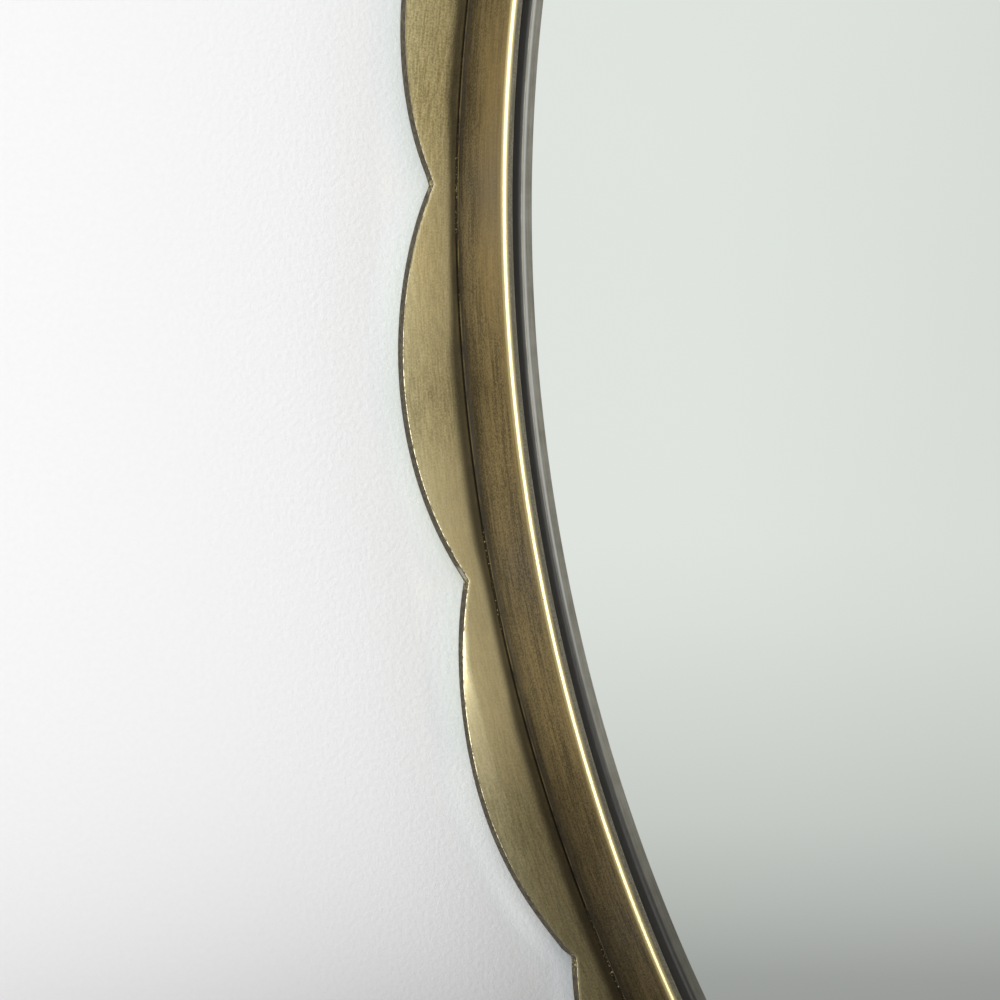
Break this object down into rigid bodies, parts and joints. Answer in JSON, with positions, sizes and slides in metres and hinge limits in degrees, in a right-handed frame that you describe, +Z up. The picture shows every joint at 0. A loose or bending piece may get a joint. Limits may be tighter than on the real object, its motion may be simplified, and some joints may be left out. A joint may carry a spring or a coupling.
{
  "type": "round wall mirror",
  "caption": "Round wall mirror in a brushed antique brass frame: scalloped flange, tall plain hoop, dark channel and narrow inner lip.",
  "frame": {"origin": "the mirror's centre on the wall plane, which the bumpers touch", "axes": "+Z up, +X to the right of someone who faces the wall, -Y out of the wall, the way the mirror faces"},
  "size_m": [0.9096, 0.0347, 0.9096],
  "materials": {
    "antique_brass": "brushed antique brass, sealed",
    "lip_metal": "dark grey-olive antique patina",
    "braze": "rough dark braze",
    "foam_tape": "closed-cell foam",
    "mirror": "silvered float glass",
    "hardboard": "brown hardboard",
    "bumper_rubber": "matt black rubber",
    "zinc_steel": "zinc-plated steel",
    "button_steel": "zinc-plated steel, stamped",
    "rail_steel": "black powder coat"
  },
  "bodies": {
    "frame": {"scalloped_flange": "antique_brass", "outer_hoop": "antique_brass", "lip_ring": "lip_metal", "seam_tacks": "braze", "lip_tacks": "braze", "glazing_tape": "foam_tape", "mirror_glass": "mirror", "backing_board": "hardboard", "wall_bumpers": "bumper_rubber", "pivot_screws": "zinc_steel", "hanging_rail": "rail_steel", "rail_screws": "zinc_steel"},
    "turn_button_01": {"turn_button_01": "button_steel"},
    "turn_button_02": {"turn_button_02": "button_steel"},
    "turn_button_03": {"turn_button_03": "button_steel"},
    "turn_button_04": {"turn_button_04": "button_steel"},
    "turn_button_05": {"turn_button_05": "button_steel"},
    "turn_button_06": {"turn_button_06": "button_steel"},
    "turn_button_07": {"turn_button_07": "button_steel"},
    "turn_button_08": {"turn_button_08": "button_steel"}
  },
  "joints": [
    {"name": "turn_button_01_swivel", "type": "hinge", "parent": "frame", "child": "turn_button_01", "pos_m": [0.40917, -0.0055, 0.14318], "axis": [0, -1, 0], "continuous": true},
    {"name": "turn_button_02_swivel", "type": "hinge", "parent": "frame", "child": "turn_button_02", "pos_m": [0.14318, -0.0055, 0.40917], "axis": [0, -1, 0], "continuous": true},
    {"name": "turn_button_03_swivel", "type": "hinge", "parent": "frame", "child": "turn_button_03", "pos_m": [-0.14318, -0.0055, 0.40917], "axis": [0, -1, 0], "continuous": true},
    {"name": "turn_button_04_swivel", "type": "hinge", "parent": "frame", "child": "turn_button_04", "pos_m": [-0.40917, -0.0055, 0.14318], "axis": [0, -1, 0], "continuous": true},
    {"name": "turn_button_05_swivel", "type": "hinge", "parent": "frame", "child": "turn_button_05", "pos_m": [-0.40917, -0.0055, -0.14318], "axis": [0, -1, 0], "continuous": true},
    {"name": "turn_button_06_swivel", "type": "hinge", "parent": "frame", "child": "turn_button_06", "pos_m": [-0.14318, -0.0055, -0.40917], "axis": [0, -1, 0], "continuous": true},
    {"name": "turn_button_07_swivel", "type": "hinge", "parent": "frame", "child": "turn_button_07", "pos_m": [0.14318, -0.0055, -0.40917], "axis": [0, -1, 0], "continuous": true},
    {"name": "turn_button_08_swivel", "type": "hinge", "parent": "frame", "child": "turn_button_08", "pos_m": [0.40917, -0.0055, -0.14318], "axis": [0, -1, 0], "continuous": true}
  ]
}
